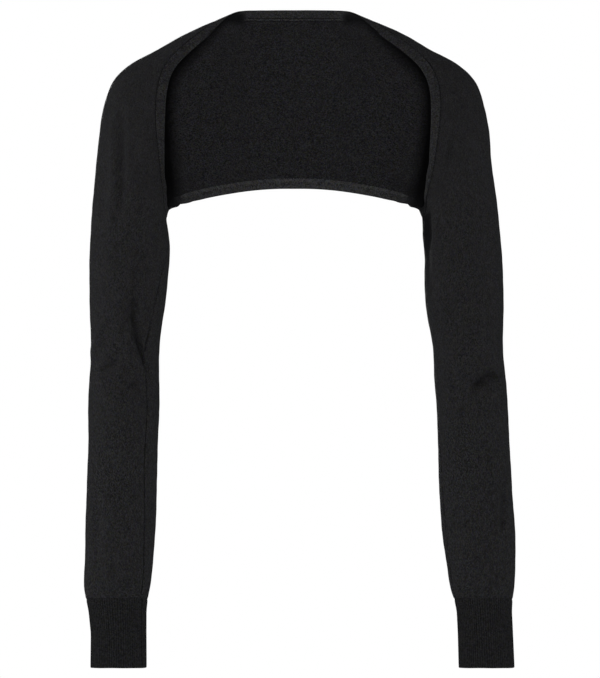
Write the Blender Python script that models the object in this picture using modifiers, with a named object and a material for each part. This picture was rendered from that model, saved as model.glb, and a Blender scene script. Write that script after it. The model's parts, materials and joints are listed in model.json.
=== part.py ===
# A knitted shrug: two sleeves joined across the upper back, an edge band round the body opening and two
# ribbed cuffs. It keeps the hollow form that it has when it is worn.
#
# Frame: metres, +Z up, the front faces -Y. The origin lies between the two shoulder tops, level with the
# top edge of the nape, where the wearer's shoulders hold the garment. The tables are in millimetres.

import math

import bmesh
import bpy
import numpy as np

# Driving sizes

MM = 0.001
WALL = 1.6  # one layer of the plain knit
SEAM_GAP = 0.3  # between sewn pieces
BAND_WIDTH = 9.5
BAND_PROUD = 0.35  # how far the folded band stands out past the cloth, on each face
RIBS = 75  # round each cuff
RIB_HEIGHT = 0.5
CUFF_WALL = 1.8
CORNER_EASE = 0.6  # added to a band's seam gap where it turns round the underarm
CORNER_LENGTH = 20.0  # over which that gap eases away
ROLL_RADIUS = 3.0  # of a band that rolls in
BEND_REACH = 5.0  # how far into the cloth its bend across the seam is read
MOST_BEND = 0.2  # radians, over that reach

# How finely each form is divided

TUBE_COLUMNS = 28  # cells round a sleeve
BODY_ROWS = 26  # sections of a half between the centre back and the underarm
SLEEVE_STEP = 26.0  # between the sections of a sleeve
ELBOW_STEP = 12.0
ELBOW_HEIGHTS = (-400.0, -330.0)
LOOP_STEPS = 160  # samples along the body opening
ROW_SAMPLES = 600  # along a half, to space its sections by
ACROSS_STEPS = 8  # short steps across a band

BLACK_KNIT = (0.0120, 0.0120, 0.0125, 1.0)
BLACK_BAND = (0.0140, 0.0140, 0.0145, 1.0)
BLACK_RIB = (0.0105, 0.0105, 0.0110, 1.0)

# Every section of a half is an ellipse, or part of one, in a plane that stands square to the front view.
# "top" is its outermost point, on the shoulder or the outside of the arm, and "foot" the opposite one,
# given as the distance out from the centre back and the height. "front" and "back" are its depths.
# The edge and hem columns say how far round from the top, in degrees, the cloth runs to the seam of the
# band: towards the front for the neck and front edge, and towards the back for the hem. A neck seam that
# lies behind the top is negative. At 180 both meet and the section is a ring.
CLOTH_ANGLE = 40.0  # lies in the cloth of every section that turns round the opening

BODY_COLUMNS = ("top_out", "top_up", "foot_out", "foot_up", "front", "back", "left_edge", "right_edge", "hem")
BODY = (
    (0.0, 21.8, 0.0, -280.0, -46.0, 78.5, -34.6, -34.6, 107.9),
    (28.0, 19.6, 15.2, -276.8, -45.5, 79.0, -33.3, -33.3, 108.5),
    (45.0, 16.8, 25.8, -270.0, -45.5, 78.5, -31.9, -31.9, 110.3),
    (57.0, 5.1, 31.9, -265.3, -46.0, 77.7, -22.4, -22.4, 110.3),
    (83.0, -9.6, 48.1, -257.9, -47.5, 75.3, 6.6, 6.6, 111.6),
    (106.5, -19.5, 61.7, -249.7, -48.5, 72.3, 21.5, 19.0, 114.5),
    (126.5, -30.0, 75.3, -243.6, -49.0, 69.2, 29.3, 24.3, 117.0),
    (144.3, -40.5, 86.2, -236.5, -49.5, 66.0, 40.5, 31.5, 120.4),
    (158.0, -47.5, 93.5, -229.0, -49.5, 63.2, 57.5, 43.6, 124.7),
    (171.0, -55.0, 101.0, -222.0, -49.5, 60.7, 77.5, 61.5, 129.8),
    (181.0, -63.0, 108.0, -216.5, -49.5, 58.5, 95.5, 80.0, 135.2),
    (189.0, -72.0, 115.2, -212.5, -49.5, 56.5, 111.0, 97.5, 139.6),
    (194.6, -82.5, 121.0, -210.3, -49.5, 54.5, 123.5, 112.0, 144.1),
    (198.0, -93.0, 125.3, -209.4, -49.0, 53.0, 134.0, 126.0, 150.5),
    (200.6, -103.5, 129.3, -210.0, -49.0, 51.0, 144.5, 139.5, 157.7),
    (202.8, -116.5, 132.0, -212.2, -48.5, 49.5, 156.5, 155.0, 162.0),
    (204.6, -131.0, 133.4, -216.0, -48.0, 48.0, 180.0, 180.0, 180.0),
)

SLEEVE_COLUMNS = ("top_out", "top_up", "foot_out", "foot_up", "front", "back")
LEFT_SLEEVE = (
    (206.7, -150.0, 133.0, -223.0, -47.5, 47.5),
    (209.2, -175.0, 130.8, -238.0, -47.0, 47.0),
    (211.8, -205.0, 130.4, -256.0, -46.0, 46.5),
    (214.2, -240.0, 131.8, -276.0, -44.5, 46.0),
    (215.0, -275.0, 134.0, -299.0, -42.0, 45.5),
    (214.6, -310.0, 137.6, -324.0, -39.0, 45.0),
    (213.6, -340.0, 140.6, -346.0, -36.0, 44.5),
    (213.2, -362.0, 141.7, -364.0, -34.0, 44.0),
    (215.1, -388.0, 141.3, -388.0, -34.0, 42.0),
    (216.1, -412.0, 141.2, -412.0, -36.0, 37.5),
    (215.8, -450.0, 142.5, -450.0, -41.0, 29.5),
    (217.3, -500.0, 143.6, -500.0, -46.0, 19.0),
    (218.5, -550.0, 145.3, -550.0, -50.0, 8.5),
    (219.4, -585.0, 148.2, -585.0, -51.0, 2.0),
    (219.4, -605.0, 150.6, -605.0, -49.0, -2.5),
    (217.9, -614.7, 152.6, -614.7, -46.5, -6.5),
)
RIGHT_SLEEVE = (
    (206.0, -150.0, 134.0, -223.0, -47.5, 47.5),
    (209.4, -175.0, 134.4, -238.0, -47.0, 47.0),
    (213.7, -205.0, 136.4, -256.0, -46.0, 46.5),
    (217.2, -240.0, 136.4, -276.0, -44.5, 46.0),
    (219.7, -275.0, 137.5, -299.0, -42.0, 45.5),
    (220.3, -310.0, 140.6, -324.0, -39.0, 45.0),
    (219.7, -340.0, 144.8, -346.0, -36.0, 44.5),
    (219.9, -362.0, 146.7, -364.0, -34.0, 44.0),
    (222.9, -388.0, 147.5, -388.0, -34.0, 42.0),
    (224.4, -412.0, 149.6, -412.0, -36.0, 37.5),
    (226.0, -450.0, 150.9, -450.0, -41.0, 29.5),
    (228.8, -500.0, 152.3, -500.0, -46.0, 19.0),
    (231.7, -550.0, 155.6, -550.0, -50.0, 8.5),
    (231.7, -585.0, 160.6, -585.0, -51.0, 2.0),
    (230.2, -605.0, 164.0, -605.0, -49.0, -2.5),
    (228.9, -614.7, 167.1, -614.7, -46.5, -6.5),
)

# A cuff's rings, over the tops of its ribs.
CUFF_COLUMNS = ("up", "outer", "inner", "front", "back")
LEFT_CUFF = (
    (-615.0, 217.9, 152.8, -46.5, -6.5),
    (-628.0, 215.1, 154.4, -44.0, -9.0),
    (-652.0, 212.7, 154.5, -43.0, -9.5),
    (-688.0, 213.0, 154.2, -42.5, -9.5),
)
RIGHT_CUFF = (
    (-615.0, 228.9, 167.3, -46.5, -6.5),
    (-628.0, 228.0, 170.2, -44.0, -9.0),
    (-652.0, 229.1, 171.4, -43.0, -9.5),
    (-688.0, 230.8, 172.4, -42.5, -9.5),
)

# The largest folds, each a soft trough (negative depth) or ridge along a bent line in the front view.
# "face" is the side of the arm that it lies on.
FOLD_COLUMNS = ("side", "face", "out1", "up1", "out2", "up2", "out3", "up3", "width", "depth")
FOLDS = (
    ("left", "front", 168.0, -286.0, 169.5, -330.0, 156.0, -370.0, 8.0, -4.0),
    ("left", "front", 174.5, -395.0, 169.0, -391.0, 162.5, -388.5, 5.0, -2.0),
    ("left", "front", 213.0, -366.0, 208.0, -350.0, 202.0, -333.0, 5.0, 1.5),
    ("left", "front", 207.0, -379.0, 195.0, -372.0, 183.0, -365.0, 6.0, -1.5),
    ("left", "front", 187.0, -114.0, 187.5, -165.0, 187.0, -214.0, 8.0, -1.5),
    ("left", "back", 205.0, -352.0, 180.0, -368.0, 158.0, -362.0, 9.0, -3.0),
    ("left", "back", 204.0, -392.0, 184.0, -398.0, 166.0, -388.0, 8.0, -2.0),
    ("right", "front", 184.5, -395.0, 200.0, -385.0, 216.0, -382.0, 7.0, -4.0),
    ("right", "front", 171.0, -352.0, 177.0, -371.0, 181.0, -385.0, 9.0, 1.5),
    ("right", "front", 219.5, -487.0, 221.0, -510.0, 216.5, -552.0, 8.0, -1.5),
    ("right", "front", 138.5, -198.0, 139.5, -224.0, 138.0, -252.0, 5.0, -3.5),
    ("right", "back", 212.0, -356.0, 188.0, -372.0, 164.0, -366.0, 9.0, -3.0),
    ("right", "back", 210.0, -398.0, 190.0, -404.0, 172.0, -393.0, 8.0, -2.0),
)

# How far the front band rolls in towards the wearer, in degrees, by its height.
BAND_ROLL_COLUMNS = ("up", "left", "right")
BAND_ROLL = (
    (0.0, 0.0, 0.0),
    (-20.0, 12.0, 12.0),
    (-45.0, 25.0, 22.0),
    (-70.0, 12.0, 12.0),
    (-96.0, 8.0, 8.0),
    (-116.0, 18.0, 22.0),
    (-134.0, 40.0, 38.0),
    (-151.0, 62.0, 50.0),
    (-168.0, 80.0, 62.0),
    (-185.0, 80.0, 78.0),
    (-198.0, 60.0, 62.0),
    (-209.0, 25.0, 25.0),
    (-216.0, 0.0, 0.0),
)

# A band's cross-section: how far it reaches from the free edge into the cloth, and how far it stands out
# from the cloth's outer face.
BAND_PROFILE = (
    (BAND_WIDTH, BAND_PROUD * 0.6),
    (BAND_WIDTH * 0.55, BAND_PROUD),
    (1.2, BAND_PROUD * 0.7),
    (0.0, -0.5 * WALL),
    (1.2, -WALL - BAND_PROUD * 0.7),
    (BAND_WIDTH * 0.55, -WALL - BAND_PROUD),
    (BAND_WIDTH, -WALL - BAND_PROUD * 0.6),
)


def clear_scene():
    for thing in list(bpy.data.objects):
        bpy.data.objects.remove(thing, do_unlink=True)


def knit_material(name, colour, roughness):
    material = bpy.data.materials.new(name)
    material.use_nodes = True
    shader = material.node_tree.nodes["Principled BSDF"]
    shader.inputs["Base Color"].default_value = colour
    shader.inputs["Roughness"].default_value = roughness
    shader.inputs["Metallic"].default_value = 0.0
    return material


def smooth_curve(at, values):
    """The second derivatives of a natural cubic spline through the values."""
    count = len(at)
    step = np.diff(at)
    matrix = np.zeros((count, count))
    matrix[0, 0] = matrix[-1, -1] = 1.0
    right_side = np.zeros_like(values)
    for i in range(1, count - 1):
        matrix[i, i - 1 : i + 2] = step[i - 1], 2.0 * (step[i - 1] + step[i]), step[i]
        slopes = (values[i + 1] - values[i]) / step[i], (values[i] - values[i - 1]) / step[i - 1]
        right_side[i] = 6.0 * (slopes[0] - slopes[1])
    return np.linalg.solve(matrix, right_side)


class Half:
    """The outer surface of one half of the shrug, as a function of the way along and the angle round."""

    def __init__(self, side):
        self.side = side
        self.sign = -1.0 if side == "left" else 1.0
        edge_column = BODY_COLUMNS.index(side + "_edge")
        hem_column = BODY_COLUMNS.index("hem")
        shape_columns = len(SLEEVE_COLUMNS)
        rows = [row[:shape_columns] + (row[edge_column], row[hem_column]) for row in BODY]
        sleeve = LEFT_SLEEVE if side == "left" else RIGHT_SLEEVE
        rows += [row + (180.0, 180.0) for row in sleeve]
        self.table = np.array(rows)
        tops = self.table[:, 0:2]
        self.at = np.concatenate(([0.0], np.cumsum(np.linalg.norm(np.diff(tops, axis=0), axis=1))))
        self.bend = smooth_curve(self.at, self.table)
        self.underarm = self.at[len(BODY) - 1]
        self.wrist = self.at[-1]
        # The two cuts meet at the underarm. They are read by the root of the way left to it, so that
        # they run into each other in a round.
        self.cut_at = np.sqrt(self.underarm - self.at[: len(BODY)])[::-1]
        self.cut_table = self.table[: len(BODY), shape_columns:][::-1]
        self.cut_bend = smooth_curve(self.cut_at, self.cut_table)

    @staticmethod
    def read(at, table, bend, along):
        i = int(np.clip(np.searchsorted(at, along) - 1, 0, len(at) - 2))
        step = at[i + 1] - at[i]
        right = (along - at[i]) / step
        left = 1.0 - right
        curved = (left**3 - left) * bend[i] + (right**3 - right) * bend[i + 1]
        return left * table[i] + right * table[i + 1] + curved * step * step / 6.0

    def cuts(self, along):
        """The angles at which the front edge and the hem edge lie."""
        left = math.sqrt(max(self.underarm - along, 0.0))
        edge, hem = self.read(self.cut_at, self.cut_table, self.cut_bend, left)
        return -edge, hem

    def section(self, along):
        return dict(zip(SLEEVE_COLUMNS, self.read(self.at, self.table, self.bend, along)))

    def plain_point(self, along, angle):
        row = self.section(along)
        turn = math.radians(angle)
        middle = 0.5 * (row["front"] + row["back"])
        half_depth = 0.5 * (row["back"] - row["front"])
        inward = 0.5 * (1.0 - math.cos(turn))
        out = row["top_out"] + (row["foot_out"] - row["top_out"]) * inward
        up = row["top_up"] + (row["foot_up"] - row["top_up"]) * inward
        return np.array((self.sign * out, middle + half_depth * math.sin(turn), up))

    def slopes(self, along, angle):
        step, turn = 0.5, 0.5
        by_along = (self.plain_point(along + step, angle) - self.plain_point(along - step, angle)) / (2 * step)
        by_angle = (self.plain_point(along, angle + turn) - self.plain_point(along, angle - turn)) / (2 * turn)
        return by_along, by_angle

    def normal(self, along, angle):
        by_along, by_angle = self.slopes(along, angle)
        out = np.cross(by_angle, by_along) * -self.sign
        return out / np.linalg.norm(out)

    def fold_lift(self, point, middle):
        """How far the folds move a point of the surface in or out."""
        lift = 0.0
        for row in FOLDS:
            fold = dict(zip(FOLD_COLUMNS, row))
            if fold["side"] != self.side or (fold["face"] == "front") != (point[1] < middle):
                continue
            flat = np.array((self.sign * point[0], point[2]))
            ends = [np.array((fold["out%d" % n], fold["up%d" % n])) for n in (1, 2, 3)]
            nearest, share = nearest_on_line(flat, ends)
            taper = min(1.0, 3.0 * share, 3.0 * (1.0 - share))
            lift += fold["depth"] * taper * math.exp(-((nearest / fold["width"]) ** 2))
        return lift

    def point(self, along, angle, lift=0.0):
        point = self.plain_point(along, angle)
        row = self.section(along)
        lift = lift + self.fold_lift(point, 0.5 * (row["front"] + row["back"]))
        return point + self.normal(along, angle) * lift


def nearest_on_line(spot, ends):
    """The distance from a spot to a line bent once, and how far along the line its nearest point lies."""
    lengths = [np.linalg.norm(ends[1] - ends[0]), np.linalg.norm(ends[2] - ends[1])]
    best, share = 1e9, 0.0
    for i, length in enumerate(lengths):
        run = ends[i + 1] - ends[i]
        t = float(np.clip(np.dot(spot - ends[i], run) / length**2, 0.0, 1.0))
        away = np.linalg.norm(spot - ends[i] - run * t)
        if away < best:
            best = away
            share = (t * length + (lengths[0] if i else 0.0)) / sum(lengths)
    return best, share


class Opening:
    """One half of the body opening's seam: from the nape down the front to the underarm, or along the hem."""

    def __init__(self, half, which):
        self.half = half
        self.which = which
        # Samples crowd towards the underarm, where the seam turns.
        shares = np.sin(np.linspace(0.0, 0.5 * math.pi, LOOP_STEPS))
        self.along = shares * half.underarm
        self.angle = np.array([half.cuts(a)[0 if which == "edge" else 1] for a in self.along])
        spots = list(zip(self.along, self.angle))
        points = np.array([half.point(*spot) for spot in spots])
        self.run = np.concatenate(([0.0], np.cumsum(np.linalg.norm(np.diff(points, axis=0), axis=1))))
        tangents = np.gradient(points, self.run, axis=0)
        tangents[0] = (half.sign, 0.0, 0.0)
        tangents[-1] = (0.0, 1.0 if which == "edge" else -1.0, 0.0)
        frames = [self.frame(*spot, tangent) for spot, tangent in zip(spots, tangents)]
        self.columns = np.column_stack((points, frames))

    def frame(self, along, angle, tangent):
        """The way from the cloth across the band, the way out of the cloth, and how fast the cloth bends."""
        by_along, by_angle = self.half.slopes(along, angle)
        normal = self.half.normal(along, angle)
        across = np.cross(normal, tangent)
        across /= np.linalg.norm(across)
        towards_cloth = by_along - by_angle * np.sign(angle - CLOTH_ANGLE)
        if np.dot(across, towards_cloth) > 0.0:
            across = -across
        step = np.linalg.lstsq(np.column_stack((by_along, by_angle)), -across * BEND_REACH, rcond=None)[0]
        within = self.half.normal(along + step[0], angle + step[1])
        bend = math.asin(float(np.clip(np.dot(within, -across), 0.0, MOST_BEND))) / BEND_REACH
        return (*across, *normal, bend)

    def band_point(self, run, reach, lift):
        """The spot that lies so far along the seam, across the band and out of the cloth's outer face."""
        row = [np.interp(run, self.run, column) for column in self.columns.T]
        spot, across, normal = np.array(row[0:3]), np.array(row[3:6]), np.array(row[6:9])
        across /= np.linalg.norm(across)
        normal /= np.linalg.norm(normal)
        roll = self.roll(spot[2])
        step = reach / ACROSS_STEPS
        for n in range(ACROSS_STEPS):
            turn = row[9] * (n + 0.5) * step + min(roll, (n + 0.5) * step / ROLL_RADIUS)
            spot = spot + (across * math.cos(turn) - normal * math.sin(turn)) * step
        turn = row[9] * reach + min(roll, reach / ROLL_RADIUS)
        return spot + (normal * math.cos(turn) + across * math.sin(turn)) * lift

    def roll(self, up):
        """How far the band rolls in towards the wearer at a height."""
        if self.which == "hem":
            return 0.0
        column = BAND_ROLL_COLUMNS.index(self.half.side)
        table = np.array(BAND_ROLL)[::-1]
        return math.radians(np.interp(up, table[:, 0], table[:, column]))


def cloth_rows(half):
    """The ways along at which a half has a section, closer together where its edges run long."""
    start = 0.5 * SEAM_GAP
    closing = half.underarm
    fine = np.linspace(start, closing, ROW_SAMPLES)
    tops = np.array([half.plain_point(a, 0.0) for a in fine])
    fronts = np.array([half.plain_point(a, half.cuts(a)[0]) for a in fine])
    hems = np.array([half.plain_point(a, half.cuts(a)[1]) for a in fine])
    travel = sum(np.linalg.norm(np.diff(line, axis=0), axis=1) for line in (tops, fronts, hems))
    travel = np.concatenate(([0.0], np.cumsum(travel)))
    body = list(np.interp(np.linspace(0.0, travel[-1], BODY_ROWS), travel, fine))
    top_up = SLEEVE_COLUMNS.index("top_up")
    low, high = ELBOW_HEIGHTS
    elbow = [a for a, row in zip(half.at, half.table) if low < row[top_up] < high]
    steps = [(elbow[0], SLEEVE_STEP), (elbow[-1], ELBOW_STEP), (half.wrist, SLEEVE_STEP)]
    sleeve = []
    here = closing
    for until, step in steps:
        count = max(1, round((until - here) / step))
        sleeve += list(np.linspace(here, until, count + 1)[1:])
        here = until
    return body, sleeve


def object_from(name, bm, material, collection, sharp_angle=40.0):
    mesh = bpy.data.meshes.new(name)
    bm.to_mesh(mesh)
    bm.free()
    mesh.shade_smooth()
    mesh.set_sharp_from_angle(angle=math.radians(sharp_angle))
    thing = bpy.data.objects.new(name, mesh)
    thing.data.materials.append(material)
    collection.objects.link(thing)
    return thing


def grid_faces(bm, rows, outward, closed=False):
    """Faces between rows of points. "outward" turns their order round."""
    count = len(rows[0])
    for near, far in zip(rows, rows[1:]):
        for j in range(count if closed else count - 1):
            k = (j + 1) % count
            ring = (near[j], near[k], far[k], far[j])
            bm.faces.new(ring if outward else tuple(reversed(ring)))


def make_half(side, half, material, collection):
    """A sleeve with its half of the back: one knitted panel, closed down the underarm."""
    body, sleeve = cloth_rows(half)
    bm = bmesh.new()
    rows = []
    for n, along in enumerate(body + sleeve):
        first, last = half.cuts(along) if n < len(body) - 1 else (-180.0, 180.0)
        row = []
        for angle in np.linspace(first, last, TUBE_COLUMNS + 1):
            spot = half.point(along, angle)
            if n == 0:
                spot[0] = half.sign * 0.5 * SEAM_GAP
            row.append(bm.verts.new(spot * MM))
        rows.append(row)
    grid_faces(bm, rows, side == "left")
    bmesh.ops.remove_doubles(bm, verts=bm.verts, dist=0.00001)
    thing = object_from(side + "_half", bm, material, collection)
    wall = thing.modifiers.new("Knit thickness", "SOLIDIFY")
    wall.thickness = WALL * MM
    wall.offset = -1.0
    wall.use_even_offset = True
    return thing


def band_stations(opening):
    """Sections of a band from the centre back to the underarm, each a ring of points, level with the
    cloth's own sections."""
    body = cloth_rows(opening.half)[0]
    runs = np.interp(body, opening.along, opening.run)
    runs[0] = 0.0
    runs[-1] -= 0.5 * SEAM_GAP
    stations = []
    for run in runs:
        gap = SEAM_GAP + CORNER_EASE * math.exp((run - runs[-1]) / CORNER_LENGTH)
        ring = []
        for across, lift in BAND_PROFILE:
            ring.append(opening.band_point(run, gap + BAND_WIDTH - across, lift))
        stations.append(ring)
    return stations


def make_band(name, left, right, material, collection):
    """One folded strip from underarm to underarm."""
    stations = list(reversed(band_stations(left))) + band_stations(right)[1:]
    bm = bmesh.new()
    rows = [[bm.verts.new(spot * MM) for spot in ring] for ring in stations]
    grid_faces(bm, rows, True, closed=True)
    bm.faces.new(rows[0])
    bm.faces.new(rows[-1])
    bmesh.ops.recalc_face_normals(bm, faces=bm.faces)
    return object_from(name, bm, material, collection)


def cuff_ring(row, sign, count, inset):
    """A ring round the wrist. "inset" moves each point in from the tops of the ribs."""
    size = dict(zip(CUFF_COLUMNS, row))
    across = sign * 0.5 * (size["outer"] + size["inner"])
    middle = 0.5 * (size["front"] + size["back"])
    ring = []
    for n in range(count):
        turn = 2.0 * math.pi * n / count
        wide = 0.5 * (size["outer"] - size["inner"]) - inset(n)
        deep = 0.5 * (size["back"] - size["front"]) - inset(n)
        ring.append(np.array((across + wide * math.cos(turn), middle + deep * math.sin(turn), size["up"])))
    return ring


def make_cuff(side, table, material, collection):
    """A ribbed tube: the ribs are raised on its outer face, and its inner face is plain."""
    sign = -1.0 if side == "left" else 1.0
    bm = bmesh.new()
    outer = []
    inner = []
    for row in table:
        ribbed = cuff_ring(row, sign, 2 * RIBS, lambda n: RIB_HEIGHT * (n % 2))
        plain = cuff_ring(row, sign, RIBS, lambda n: CUFF_WALL)
        outer.append([bm.verts.new(spot * MM) for spot in ribbed])
        inner.append([bm.verts.new(spot * MM) for spot in plain])
    grid_faces(bm, outer, False, closed=True)
    grid_faces(bm, inner, True, closed=True)
    for outside, inside, below in ((outer[0], inner[0], False), (outer[-1], inner[-1], True)):
        for n in range(RIBS):
            here, groove, after = outside[2 * n], outside[2 * n + 1], outside[(2 * n + 2) % (2 * RIBS)]
            near, far = inside[n], inside[(n + 1) % RIBS]
            for face in ((here, groove, near), (groove, after, far, near)):
                bm.faces.new(face if below else tuple(reversed(face)))
    bmesh.ops.recalc_face_normals(bm, faces=bm.faces)
    return object_from(side + "_cuff", bm, material, collection, sharp_angle=60.0)


def main():
    clear_scene()
    collection = bpy.data.collections.new("Knitted shrug")
    bpy.context.scene.collection.children.link(collection)
    knit = knit_material("black_knit", BLACK_KNIT, 0.85)
    band = knit_material("black_band", BLACK_BAND, 0.85)
    rib = knit_material("black_rib", BLACK_RIB, 0.9)

    edges = {}
    hems = {}
    for side in ("left", "right"):
        half = Half(side)
        edges[side] = Opening(half, "edge")
        hems[side] = Opening(half, "hem")
        make_half(side, half, knit, collection)
    make_band("neck_band", edges["left"], edges["right"], band, collection)
    make_band("hem_band", hems["left"], hems["right"], band, collection)
    make_cuff("left", LEFT_CUFF, rib, collection)
    make_cuff("right", RIGHT_CUFF, rib, collection)


main()
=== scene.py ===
# Knitted shrug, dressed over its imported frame: fine plain knit, folded edge bands, ribbed cuffs.
# Metres, +Z up, the open front faces -Y. The garment's own tables are in millimetres.

import json
import math

import bmesh
import bpy
import numpy as np
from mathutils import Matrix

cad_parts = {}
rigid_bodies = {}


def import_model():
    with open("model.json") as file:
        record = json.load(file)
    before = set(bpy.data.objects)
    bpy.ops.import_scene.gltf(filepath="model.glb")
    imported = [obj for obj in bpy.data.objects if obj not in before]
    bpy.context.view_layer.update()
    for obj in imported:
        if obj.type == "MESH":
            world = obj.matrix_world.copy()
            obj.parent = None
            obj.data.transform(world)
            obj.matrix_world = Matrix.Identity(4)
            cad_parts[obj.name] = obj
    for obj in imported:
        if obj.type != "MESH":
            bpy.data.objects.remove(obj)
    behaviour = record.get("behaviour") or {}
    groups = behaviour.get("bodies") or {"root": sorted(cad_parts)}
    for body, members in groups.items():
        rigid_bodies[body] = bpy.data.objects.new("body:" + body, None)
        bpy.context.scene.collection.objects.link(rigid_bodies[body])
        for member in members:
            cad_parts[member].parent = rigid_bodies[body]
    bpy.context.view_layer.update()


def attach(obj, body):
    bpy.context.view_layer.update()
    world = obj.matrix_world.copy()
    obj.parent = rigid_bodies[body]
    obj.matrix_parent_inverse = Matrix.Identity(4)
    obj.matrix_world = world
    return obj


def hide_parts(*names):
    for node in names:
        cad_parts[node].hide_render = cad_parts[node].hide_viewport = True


for default in list(bpy.data.objects):
    bpy.data.objects.remove(default, do_unlink=True)
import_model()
MM = 0.001


# Left half
# One panel of fine black plain knit makes the sleeve and its half of the back. It is shaped on the
# machine, closed by a linked seam down the underarm, and keeps the soft creases of a worn sleeve.

# Sections square to the front view, from the centre back out to the underarm. The edge and hem angles
# are where the cloth ends at its bands, counted from the shoulder line.
BACK_COLUMNS = ("top_out", "top_up", "foot_out", "foot_up", "front", "back", "left_edge", "right_edge", "hem")
BACK = (
    (0, 21.8, 0, -280, -46, 78.5, -34.6, -34.6, 107.9),
    (28, 19.6, 15.2, -276.8, -45.5, 79, -33.3, -33.3, 108.5),
    (45, 16.8, 25.8, -270, -45.5, 78.5, -31.9, -31.9, 110.3),
    (57, 5.1, 31.9, -265.3, -46, 77.7, -22.4, -22.4, 110.3),
    (83, -9.6, 48.1, -257.9, -47.5, 75.3, 6.6, 6.6, 111.6),
    (106.5, -19.5, 61.7, -249.7, -48.5, 72.3, 21.5, 19, 114.5),
    (126.5, -30, 75.3, -243.6, -49, 69.2, 29.3, 24.3, 117),
    (144.3, -40.5, 86.2, -236.5, -49.5, 66, 40.5, 31.5, 120.4),
    (158, -47.5, 93.5, -229, -49.5, 63.2, 57.5, 43.6, 124.7),
    (171, -55, 101, -222, -49.5, 60.7, 77.5, 61.5, 129.8),
    (181, -63, 108, -216.5, -49.5, 58.5, 95.5, 80, 135.2),
    (189, -72, 115.2, -212.5, -49.5, 56.5, 111, 97.5, 139.6),
    (194.6, -82.5, 121, -210.3, -49.5, 54.5, 123.5, 112, 144.1),
    (198, -93, 125.3, -209.4, -49, 53, 134, 126, 150.5),
    (200.6, -103.5, 129.3, -210, -49, 51, 144.5, 139.5, 157.7),
    (202.8, -116.5, 132, -212.2, -48.5, 49.5, 156.5, 155, 162),
    (204.6, -131, 133.4, -216, -48, 48, 180, 180, 180),
)
SLEEVE_COLUMNS = BACK_COLUMNS[:6]
LEFT_SLEEVE = (
    (206.7, -150, 133, -223, -47.5, 47.5),
    (209.2, -175, 130.8, -238, -47, 47),
    (211.8, -205, 130.4, -256, -46, 46.5),
    (214.2, -240, 131.8, -276, -44.5, 46),
    (215, -275, 134, -299, -42, 45.5),
    (214.6, -310, 137.6, -324, -39, 45),
    (213.6, -340, 140.6, -346, -36, 44.5),
    (213.2, -362, 141.7, -364, -34, 44),
    (215.1, -388, 141.3, -388, -34, 42),
    (216.1, -412, 141.2, -412, -36, 37.5),
    (215.8, -450, 142.5, -450, -41, 29.5),
    (217.3, -500, 143.6, -500, -46, 19),
    (218.5, -550, 145.3, -550, -50, 8.5),
    (219.4, -585, 148.2, -585, -51, 2),
    (219.4, -605, 150.6, -605, -49, -2.5),
    (217.9, -614.7, 152.6, -614.7, -46.5, -6.5),
)
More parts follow.
